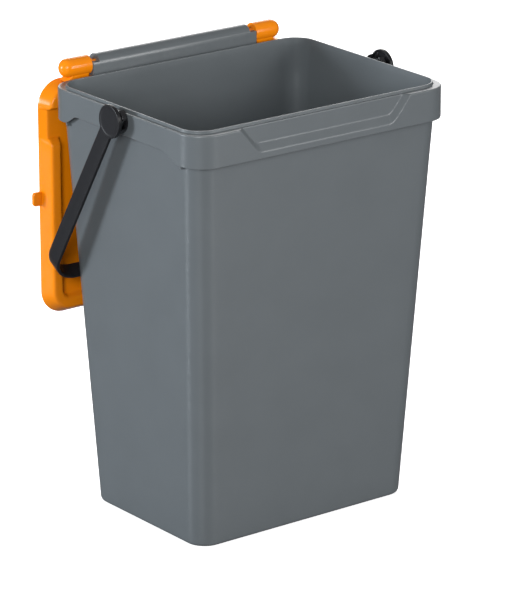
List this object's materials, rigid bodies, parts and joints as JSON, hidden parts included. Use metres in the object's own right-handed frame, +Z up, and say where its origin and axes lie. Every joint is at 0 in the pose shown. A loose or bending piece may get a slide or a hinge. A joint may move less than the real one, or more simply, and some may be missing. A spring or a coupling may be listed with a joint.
{
  "type": "kerbside waste bin",
  "caption": "Tapered rectangular waste bin with a rear-hinged lid hanging open and a bail handle leaning on its back wall.",
  "frame": {"origin": "centre of the flat base, on the surface that the bin stands on", "axes": "+Z up, -Y towards the front with the finger recess, X along the lid's and the handle's hinge axes"},
  "size_m": [0.384, 0.2975, 0.509],
  "materials": {
    "grey_tub_plastic": "satin moulded, fine grain",
    "orange_lid_plastic": "semi-gloss moulded",
    "orange_pin_plastic": "semi-gloss moulded",
    "black_handle_plastic": "satin moulded",
    "black_collar_plastic": "gloss moulded",
    "black_pin_plastic": "satin moulded"
  },
  "bodies": {
    "tub": {"tub": "grey_tub_plastic", "pivot_collar_left": "black_collar_plastic", "pivot_collar_right": "black_collar_plastic"},
    "lid": {"lid": "orange_lid_plastic", "hinge_pin_left": "orange_pin_plastic", "hinge_pin_right": "orange_pin_plastic"},
    "handle": {"handle": "black_handle_plastic", "pivot_pin_left": "black_pin_plastic", "pivot_pin_right": "black_pin_plastic"}
  },
  "joints": [
    {"name": "lid_hinge", "type": "hinge", "parent": "tub", "child": "lid", "pos_m": [0, 0.148, 0.498], "axis": [1, 0, 0], "range_deg": [0, 270]},
    {"name": "handle_swing", "type": "hinge", "parent": "tub", "child": "handle", "pos_m": [0, 0, 0.478], "axis": [1, 0, 0], "range_deg": [0, 297]}
  ]
}
